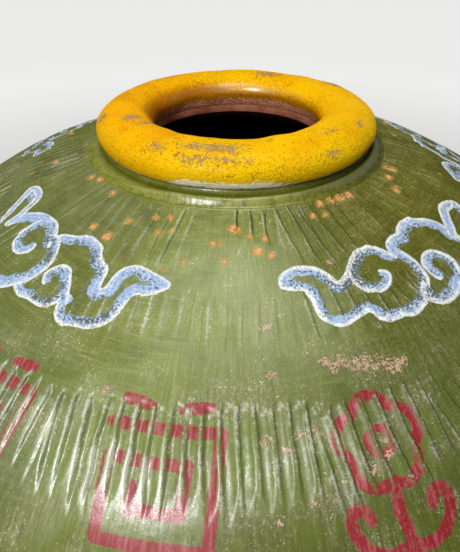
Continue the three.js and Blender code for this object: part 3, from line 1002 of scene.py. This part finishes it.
def yellow_finish(name, paint):
    """The lip: yellow enamel, pitted and cracked, worn through in places, bare clay within."""
    finish = Finish(name)
    step, between, noise, field = finish.step, finish.between, finish.noise, finish.field
    grain, mottle, patch = noise(1500, 2, roughness=0.7), noise(430, 3, roughness=0.7), noise(45, 3)
    gritty, mottled, patchy = grain - 0.5, mottle - 0.5, patch - 0.5
    ring, dashes = finish.drawn_out((11, 0.8), 3), finish.drawn_out((62, 2.2), 1)
    side, facing, _ = finish.whereabouts()
    profile = field("profile")
    busy = step(noise(28, 2), 0.38, 0.62)
    pits = step(noise(900, 2, roughness=0.6) + busy * 0.07, 0.65, 0.69)
    shade = finish.layers(
        paint.yellow,
        (paint.orange, step(patch + ring * 0.5 + mottle * 0.3, 0.86, 1.12) * 0.6),
        (SOFT_YELLOW, step(mottle + ring * 0.6, 0.8, 1.05) * 0.55),
        (OUTER_YELLOW, step(profile + patchy * 16, 19, 6) * 0.8),
        (paint.orange, step(grain, 0.5, 0.33) * 0.6),
        (PIT_BROWN, pits * 0.7),
        (DASH_BROWN, step(dashes - busy * 0.05, 0.31, 0.26) * 0.7))
    shade = finish.tint(shade, LEFT_TINT, step(side, -0.2, -0.7))

    # Cracks and wear, the ragged lower edge, painted shade deeper inside the mouth, and the bare clay there
    cells = finish.node(
        "ShaderNodeTexVoronoi", {"feature": "DISTANCE_TO_EDGE"}, Vector=finish.place, Scale=150.0)
    cracks = step(cells, 0.035, 0.015) * step(noise(130, 2), 0.61, 0.66)
    wear = step(field("wear_gap") + mottled * 17 + gritty * 13, 0.6, -0.9)
    front = between(side, -0.5, -0.25, 0.15, 0.4)
    ragged = profile + patchy * 7 + mottled * 8 + gritty * 4 + (1 - front) * 4.5
    edge = step(ragged, -2.2, -4.2)
    greenish = step(mottle + patch * 0.6 - front * 0.28, 0.56, 0.84)
    # Painted shade: orange-brown deeper inside the mouth, reaching higher on the left
    mouth_shade = step(profile + mottled * 12 + step(side, 0.1, -0.5) * 7, 44, 55)
    unglazed = step(profile + mottled * 6 + patchy * 5, 55.5, 58.3)
    shade = finish.layers(
        shade,
        (CRACK_BROWN, cracks * 0.75),
        (finish.blend(WORN_BROWN, WORN_TAN, mottle), wear * 0.8),
        (finish.blend(EDGE_CREAM, EDGE_GREEN, greenish), edge),
        (UNDER_GREEN, step(ragged, -8.5, -10.5)),
        (mixed(paint.orange, MOUTH_SHADE_BROWN, 0.7), mouth_shade * 0.8),
        (finish.blend(FIRED_DEEP, FIRED_LIP, step(mottle + grain * 0.5, 0.5, 0.9)), unglazed))
    gloss = step(profile + mottled * 4, 43, 47) * step(profile, 57, 53.5)
    gloss = gloss * step(facing, 0.3, 0.7) * step(mottle + patch * 0.5, 0.5, 0.8)
    gloss = gloss * (0.3 + between(side, -0.45, -0.2, 0.5, 0.65) * 0.7)
    finish.coat(gloss * 0.97 + 0.03, 0.28)
    roughness = 0.2 + mottle * 0.14 + unglazed * 0.25 + edge * 0.3 + wear * 0.3
    height = (
        mottle * 0.8 + ring * 0.5 + grain * 0.22 + unglazed * mottle * 0.8
        - pits * 0.2 - cracks * 0.25 - wear * 0.15 - unglazed * 0.5)
    return finish.done(shade, roughness, height)


def clay_finish(name, low, high, roughness):
    """Unpainted clay with grit and finger marks."""
    finish = Finish(name)
    grit = finish.noise(900, 3, roughness=0.7)
    smear = finish.noise(60, 3)
    shade = finish.blend(low, high, finish.step(grit * 0.6 + smear * 0.6, 0.4, 0.85))
    return finish.done(shade, roughness, grit * 0.35 + smear * 0.8)


def floor_finish(name, stage):
    """A pale floor that keeps the jar's shadow: lit paint, and a glow that only shows to the eye. The
    glow grows with the distance, where the lamps fade, until floor and backdrop are one."""
    finish = Finish(name)
    shade = tuple(stage.floor_colour)
    distance = finish.node("ShaderNodeVectorMath", {"operation": "LENGTH"}, "Value", _0=finish.place)
    near = mixed(BLACK, shade, stage.floor_glow)
    far = mixed(BLACK, (stage.backdrop,) * 3, 1 - shade[1] * stage.world_strength / stage.backdrop)
    glow = finish.blend(BLACK, finish.blend(near, far, finish.step(distance, 0.3, 2.4)), finish.seen())
    finish.dress(Base_Color=shade, Roughness=0.8, Emission_Strength=1, Emission_Color=glow)
    return finish.material


def finish_named(name, make, *values):
    """A material of that name, made once and shared."""
    return bpy.data.materials.get(name) or make(name, *values)


def green(context):
    return finish_named("painted_green", green_finish, context.scene.jar_paint)


def bare(context):
    # Near black: painted shade inside the jar
    shade = tuple(context.scene.jar_paint.inside)
    return finish_named("bare_inside", clay_finish, mixed(shade, BLACK, 0.5), shade, 0.9)


# Operators


def joins(outline):
    """Slopes of the joins between the rings, from the neck down, read off the CAD rings' tops."""
    tops = [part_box(name)[1].z for name in SHOULDER_RINGS[1:] + WALL_RINGS + ("foot_slab",)]
    return [0.0] + [outline.slope_at(top) for top in tops]


def add_ring(context, name, outline, top, bottom, row_step, column_step):
    """One ring of the wall: outside the outline lifted by its relief, inside the same outline a wall's
    thickness in and a lap further down, and a sloping join at each end."""
    scene = context.scene
    body = scene.jar_body
    rows = max(4, round((bottom - top) / row_step))
    widest = outline.at(np.linspace(top, bottom, 9))[0].max()
    columns = min(round(TURN * widest / column_step), MOST_FACES // (2 * (rows + INNER_ROWS + 1)))
    slope = np.linspace(bottom, top, rows + 1)[:, None]
    turn = around(columns)
    lift, marks = body_relief(turn, slope, outline, body, scene.jar_paddle)
    outer = outline.place(turn, slope, lift)
    inner_slope = np.linspace(top + body.lap, bottom + body.lap, INNER_ROWS)[:, None]
    inner = outline.place(turn, inner_slope, -body.wall)
    fields = Painting(turn, slope, outline, scene.jar_paint).fields
    fields.update(marks, glide=glide(turn, slope))
    hidden = np.zeros(inner.shape[:2])
    attributes = {
        key: np.concatenate([values, hidden if values.ndim == 2 else inner])
        for key, values in fields.items()}
    slots = np.repeat((0, 1), (rows, INNER_ROWS + 1))
    grid = np.concatenate([outer, inner])
    piece = ring_mesh(
        f"{name}_skin", grid, (0, rows, rows + 1, len(grid) - 1), attributes, slots=slots)
    settle(piece, name, "green_paint", green(context), bare(context))


class JAR_OT_shoulder(bpy.types.Operator):
    """Adds the four fluted and painted rings of the shoulder"""

    bl_idname = "jar.shoulder"
    bl_label = "Shoulder"

    def execute(self, context):
        outline = Outline(context.scene.jar_body, context.scene.jar_neck)
        ends = joins(outline)
        for name, top, bottom, column in zip(SHOULDER_RINGS, ends, ends[1:], SHOULDER_COLUMNS):
            add_ring(context, name, outline, top, bottom, SHOULDER_ROW, column)
        return {"FINISHED"}


class JAR_OT_wall(bpy.types.Operator):
    """Adds the five rings of the lower wall"""

    bl_idname = "jar.wall"
    bl_label = "Lower wall"

    def execute(self, context):
        outline = Outline(context.scene.jar_body, context.scene.jar_neck)
        ends = joins(outline)[len(SHOULDER_RINGS):]
        for name, top, bottom in zip(WALL_RINGS, ends, ends[1:]):
            add_ring(context, name, outline, top, bottom, WALL_ROW, WALL_COLUMN)
        return {"FINISHED"}


class JAR_OT_foot(bpy.types.Operator):
    """Adds the base of the jar: a slightly hollow underside, a worn edge, and a floor with a cove"""

    bl_idname = "jar.foot"
    bl_label = "Foot"

    # Mean height of the hollow, radius of the fans of faces in the middle, and width of the cove
    HOLLOW, HUB, COVE = 0.0006, 0.01, 0.014

    def execute(self, context):
        body = context.scene.jar_body
        outline = Outline(body, context.scene.jar_neck)
        top = joins(outline)[-1]
        turn = around(FOOT_COLUMNS)

        # Underside: the hollow times lumps from 0 to 2, down to nothing at the edge. Edge: a quarter of
        # an ellipse. Cove: down the wall with the square of the share that is left of its width.
        rest_r = body.foot_radius - body.foot_bevel
        under_r = np.linspace(self.HUB, rest_r, 24)[:, None]
        under_z = self.HOLLOW * (lumps(turn, under_r, 0.02, 31) + 1) * (1 - smooth(0.105, 0.12, under_r))
        under = revolve(turn, under_r, under_z)
        bend = np.linspace(0.15, 1, 6)[:, None] * math.pi / 2
        corner_r, corner_z = outline.at(outline.base - body.foot_bevel)
        corner = revolve(turn, rest_r + (corner_r - rest_r) * np.sin(bend), corner_z * (1 - np.cos(bend)))
        side_slope = np.linspace(outline.base - body.foot_bevel - 0.001, top, 14)[:, None]
        lift, _ = body_relief(turn, side_slope, outline, body, context.scene.jar_paddle)
        side = outline.place(turn, side_slope, lift * smooth(outline.base, outline.base - 0.01, side_slope))
        lap = outline.place(turn, np.array([[top + body.lap]]), -body.wall)
        lap_r, lap_z = np.linalg.norm(lap[0, 0, :2]), lap[0, 0, 2]
        ease = np.linspace(0.2, 1, 5)[:, None]
        cove = revolve(turn, lap_r - self.COVE * ease, body.floor + (lap_z - body.floor) * (1 - ease) ** 2)
        floor_r = np.linspace(lap_r - 0.02, self.HUB, 12)[:, None]
        floor = revolve(turn, floor_r, np.full_like(floor_r, body.floor))
        grid = np.concatenate([under, corner, side, lap, cove, floor])
        poles = np.array([[0, 0, self.HOLLOW], [0, 0, body.floor]])
        below = len(under) + len(corner)
        outside = below + len(side)
        far = np.full(grid.shape[:2], FAR)
        attributes = {name: far for name in ("cloud_gap", "red_gap", "chip_gap", "scuff_gap")}
        attributes["glide"] = glide(turn, np.full((len(grid), 1), outline.base))
        slots = np.repeat((1, 0, 2), (below, len(side) - 1, len(grid) - outside))
        piece = ring_mesh("foot_skin", grid, (outside - 1, outside), attributes, poles, slots)
        shade = tuple(context.scene.jar_paint.clay)
        clay = finish_named("bare_foot", clay_finish, FOOT_CLAY, shade, 0.85)
        settle(piece, "foot_slab", "bare_clay", green(context), clay, bare(context))
        return {"FINISHED"}


class JAR_OT_collar(bpy.types.Operator):
    """Adds the neck collar with its round bead, which stands out and flattens towards the right"""

    bl_idname = "jar.collar"
    bl_label = "Collar"

    # How far the bead stands out at the right, and wavers; the gap under the lip; rows of fired clay
    PUSHED_OUT, WAVER = 0.0022, 0.0005
    SEAT_GAP = 0.0003
    FIRED_ROWS = 6

    def execute(self, context):
        body, neck = context.scene.jar_body, context.scene.jar_neck
        outline = Outline(body, neck)
        turn = around(NECK_COLUMNS)
        ring_r, ring_z = outline.at(0.0)
        girth = TURN * ring_r
        level = np.zeros_like(turn)

        # Bead: up by its height * sin(90 degrees * share)^2 from foot to crest, down to the valley by
        # the same wave, and from there up to the seat with the square of the share
        share = np.linspace(0, 1, 15)[:, None]
        right = np.sin(turn)
        crest = neck.bead_crest + self.PUSHED_OUT * smooth(0.3, 0.8, right)
        crest = crest + self.WAVER * lumps(turn, level, 0.03, 41, girth)
        swell = 1 + 0.1 * lumps(turn, level, 0.02, 42, girth) - 0.6 * smooth(-0.3, -0.75, right)
        height = neck.bead_height * swell
        wave = np.sin(share * math.pi / 2) ** 2
        rise = neck.rise - self.SEAT_GAP
        inward = np.concatenate([
            level,
            neck.bead_foot + share * (crest - neck.bead_foot),
            crest + (neck.valley - crest) * share[1:],
            neck.valley + (neck.seat_edge - neck.valley) * share[1:] + level])
        upward = np.concatenate([
            level,
            height * wave,
            height + (neck.valley_height - height) * wave[1:],
            neck.valley_height + (rise - neck.valley_height) * share[1:] ** 2 + level])
        bead = revolve(turn, ring_r - inward, ring_z + upward)

        # Bore: straight for a millimetre, then a quarter of an ellipse out to the inside of the shoulder
        seat_z = ring_z + rise
        bore_z = np.linspace(seat_z, seat_z - 0.001, 3)[:, None]
        bore = revolve(turn, neck.bore_radius + 0.0002 * lumps(turn, bore_z, 0.008, 43, 0.4), bore_z)
        bend = np.linspace(0.05, 1, 16)[:, None] * math.pi / 2
        inner_z = outline.place(np.zeros(1), np.zeros(1), -body.wall)[0][2]
        flare = revolve(
            turn, neck.bore_radius + neck.flare * (1 - np.cos(bend)),
            bore_z[-1] - (bore_z[-1] - inner_z) * np.sin(bend))
        lap = outline.place(turn, np.array([[body.lap]]), -body.wall)
        grid = np.concatenate([lap, bead, bore, flare])
        outside = 1 + len(bead)
        collar_run = np.full(grid.shape[:2], neck.seat_edge / MM)
        collar_run[1:outside] = inward / MM
        attributes = {"collar_run": collar_run, "glide": glide(turn, collar_run * MM)}
        within = len(grid) - outside + 1 - self.FIRED_ROWS
        slots = np.repeat((1, 0, 2, 1), (1, outside - 2, self.FIRED_ROWS, within))
        piece = ring_mesh("neck_collar_skin", grid, (0, 1, outside - 1, outside), attributes, slots=slots)
        glossy = finish_named("glossy_green", collar_finish, context.scene.jar_paint)
        fired = finish_named("fired_clay", clay_finish, FIRED_DEEP, FIRED_NECK, 0.8)
        settle(piece, "neck_collar", "green_paint", glossy, bare(context), fired)
        return {"FINISHED"}


# Worn patches on the lip: degrees around, mm round the roll from its outermost line, half sizes in mm
LIP_WEAR = (
    (-9, 20, 13, 3.2), (-2, 20, 5, 3.6), (-14, 10, 5, 2), (-4, 11, 5, 1.2), (-62, 30, 5, 6), (-52, 37, 3, 7),
    (-30, 14, 3, 2), (36, 7, 3, 1.5), (42, 22, 3, 1), (61, 16, 3, 2), (-75, 12, 4, 3), (120, 20, 9, 4),
    (160, 30, 7, 3), (-140, 18, 8, 3), (200, 9, 8, 3),
)


class JAR_OT_lip(bpy.types.Operator):
    """Adds the thick rolled lip: an ellipse in section, flat on its seat, with the lumps of the hand"""

    bl_idname = "jar.lip"
    bl_label = "Lip"

    INNER_FLARE = 0.0038

    def execute(self, context):
        neck = context.scene.jar_neck
        outline = Outline(context.scene.jar_body, neck)
        seat_z = outline.at(0.0)[1] + neck.rise

        # Section: half width * cos(bend) across and half height * sin(bend) up, from seat to seat
        half_w, half_h = neck.lip_width / 2, neck.lip_height / 2
        lean = math.asin(neck.seat_depth / half_h)
        bend = np.linspace(-lean, math.pi + lean, 89)[:, None]
        across, upward = half_w * np.cos(bend), half_h * np.sin(bend)
        turn = around(NECK_COLUMNS)
        steps = np.hypot(np.diff(across, axis=0), np.diff(upward, axis=0))
        run = np.concatenate([[[0]], np.cumsum(steps, axis=0)])
        profile = run - np.interp(0, bend[:, 0], run[:, 0])

        # Lumps lift it along its normal, (half height * cos(bend), half width * sin(bend)) over their
        # length. Below its innermost line it stands back from the mouth with the power 1.6 of the bend.
        girth = TURN * neck.lip_radius
        lift = 0.0008 * lumps(turn, profile, 0.04, 51, girth)
        lift = lift + 0.0005 * lumps(turn, profile, 0.014, 52, girth)
        lift = lift * smooth(0, 0.006, run) * smooth(0, 0.006, run[-1] - run)
        size = np.hypot(half_h * np.cos(bend), half_w * np.sin(bend))
        within = np.clip(bend - math.pi, 0, None) / lean
        section_r = np.where(within > 0, self.INNER_FLARE * within ** 1.6 - half_w, across)
        grid = revolve(
            turn, neck.lip_radius + section_r + lift * half_h * np.cos(bend) / size,
            seat_z + neck.seat_depth + upward + lift * half_w * np.sin(bend) / size)
        shape = grid.shape[:2]
        gap = np.full(shape, FAR)
        for degrees, middle, half_across, half_down in LIP_WEAR:
            away = (turn - math.radians(degrees) + math.pi) % TURN - math.pi
            x, y = away * neck.lip_radius / MM / half_across, (profile / MM - middle) / half_down
            gap = np.minimum(gap, (np.hypot(x, y) - 1) * min(half_across, half_down))
        attributes = {
            "profile": np.broadcast_to(profile / MM, shape), "wear_gap": gap, "glide": glide(turn, profile)}
        piece = ring_mesh("rolled_lip_skin", grid, (0, shape[0] - 1), attributes)
        yellow = finish_named("yellow_enamel", yellow_finish, context.scene.jar_paint)
        settle(piece, "rolled_lip", "yellow_paint", yellow)
        return {"FINISHED"}


def look_along(forward, roll):
    """Rotation of a camera that looks along forward, rolled about its axis."""
    right = forward.cross(Vector((0, 0, 1))).normalized()
    up = right.cross(forward)
    turned_right = right * math.cos(roll) + up * math.sin(roll)
    turned_up = up * math.cos(roll) - right * math.sin(roll)
    return Matrix((turned_right, turned_up, -forward)).transposed().to_4x4()


class JAR_OT_stage(bpy.types.Operator):
    """Adds the camera, the lights and the floor"""

    bl_idname = "jar.stage"
    bl_label = "Stage"

    SENSOR_MM = 36
    BACK_SPREAD = 120
    FLOOR_REACH = 6

    def execute(self, context):
        scene, stage = context.scene, context.scene.jar_stage
        mouth = Vector((0, 0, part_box("rolled_lip")[1].z - scene.jar_neck.lip_height / 2))
        behind = Vector((0, -math.cos(stage.camera_rise), math.sin(stage.camera_rise)))
        forward = Vector((
            math.sin(stage.camera_yaw) * math.cos(stage.camera_tilt),
            math.cos(stage.camera_yaw) * math.cos(stage.camera_tilt),
            -math.sin(stage.camera_tilt)))
        data = bpy.data.cameras.new("camera")
        data.lens = stage.camera_lens
        data.sensor_width = self.SENSOR_MM
        data.clip_start = 0.01
        camera = bpy.data.objects.new("camera", data)
        place = Matrix.Translation(mouth + behind * stage.camera_distance)
        camera.matrix_world = place @ look_along(forward, stage.camera_roll)
        scene.collection.objects.link(camera)
        scene.camera = camera

        self.add_light("key", (-0.39, -0.92, 1.19), (-0.02, -0.15, 0.49), 0.3, stage.key_power)
        self.add_light("top", (0.04, -0.07, 1.30), (0, -0.09, 0.5), 0.45, stage.top_power)
        back = self.add_light("back", (0.44, 1.11, 0.48), (0, 0, 0.3), 0.7, stage.back_power)
        back.visible_glossy = False
        back.data.spread = math.radians(self.BACK_SPREAD)
        world = bpy.data.worlds.new("room")
        scene.world = world
        world.use_nodes = True
        room = Nodes(world.node_tree)
        shade = room.blend((stage.world_strength,) * 3, (stage.backdrop,) * 3, room.seen())
        room.fill(world.node_tree.nodes["Background"].inputs["Color"], shade)

        mesh = bpy.data.meshes.new("floor")
        low, high = -self.FLOOR_REACH, self.FLOOR_REACH
        corners = [(low, low, 0), (high, low, 0), (high, high, 0), (low, high, 0)]
        mesh.from_pydata(corners, [], [range(4)])
        floor = bpy.data.objects.new("floor", mesh)
        floor.data.materials.append(floor_finish("floor", stage))
        scene.collection.objects.link(floor)
        scene.view_settings.view_transform = "Standard"
        return {"FINISHED"}

    def add_light(self, name, position, target, size, power):
        data = bpy.data.lights.new(name, "AREA")
        data.size = size
        data.energy = power
        light = bpy.data.objects.new(name, data)
        forward = (Vector(target) - Vector(position)).normalized()
        light.matrix_world = Matrix.Translation(Vector(position)) @ look_along(forward, 0)
        light.visible_camera = False
        bpy.context.scene.collection.objects.link(light)
        return light


class JAR_PT_panel(bpy.types.Panel):
    """Lists the jar's sizes, colours and pieces"""

    bl_idname = "JAR_PT_panel"
    bl_label = "Painted storage jar"
    bl_space_type = "VIEW_3D"
    bl_region_type = "UI"
    bl_category = "Jar"

    def draw(self, context):
        for operator in OPERATORS:
            self.layout.operator(operator.bl_idname)
        for name, group in GROUPS.items():
            box = self.layout.box()
            for key in group.__annotations__:
                box.prop(getattr(context.scene, name), key)


GROUPS = {
    "jar_body": JarBody, "jar_neck": JarNeck, "jar_paddle": JarPaddle, "jar_paint": JarPaint,
    "jar_stage": JarStage,
}
OPERATORS = (JAR_OT_stage, JAR_OT_lip, JAR_OT_collar, JAR_OT_shoulder, JAR_OT_wall, JAR_OT_foot)


def register():
    for name, group in GROUPS.items():
        bpy.utils.register_class(group)
        setattr(bpy.types.Scene, name, PointerProperty(type=group))
    for item in (*OPERATORS, JAR_PT_panel):
        bpy.utils.register_class(item)


def unregister():
    for item in (JAR_PT_panel, *reversed(OPERATORS)):
        bpy.utils.unregister_class(item)
    for name, group in GROUPS.items():
        delattr(bpy.types.Scene, name)
        bpy.utils.unregister_class(group)


def main():
    register()
    bpy.ops.jar.stage()
    bpy.ops.jar.lip()
    bpy.ops.jar.collar()
    bpy.ops.jar.shoulder()
    bpy.ops.jar.wall()
    bpy.ops.jar.foot()


if __name__ == "__main__":
    main()
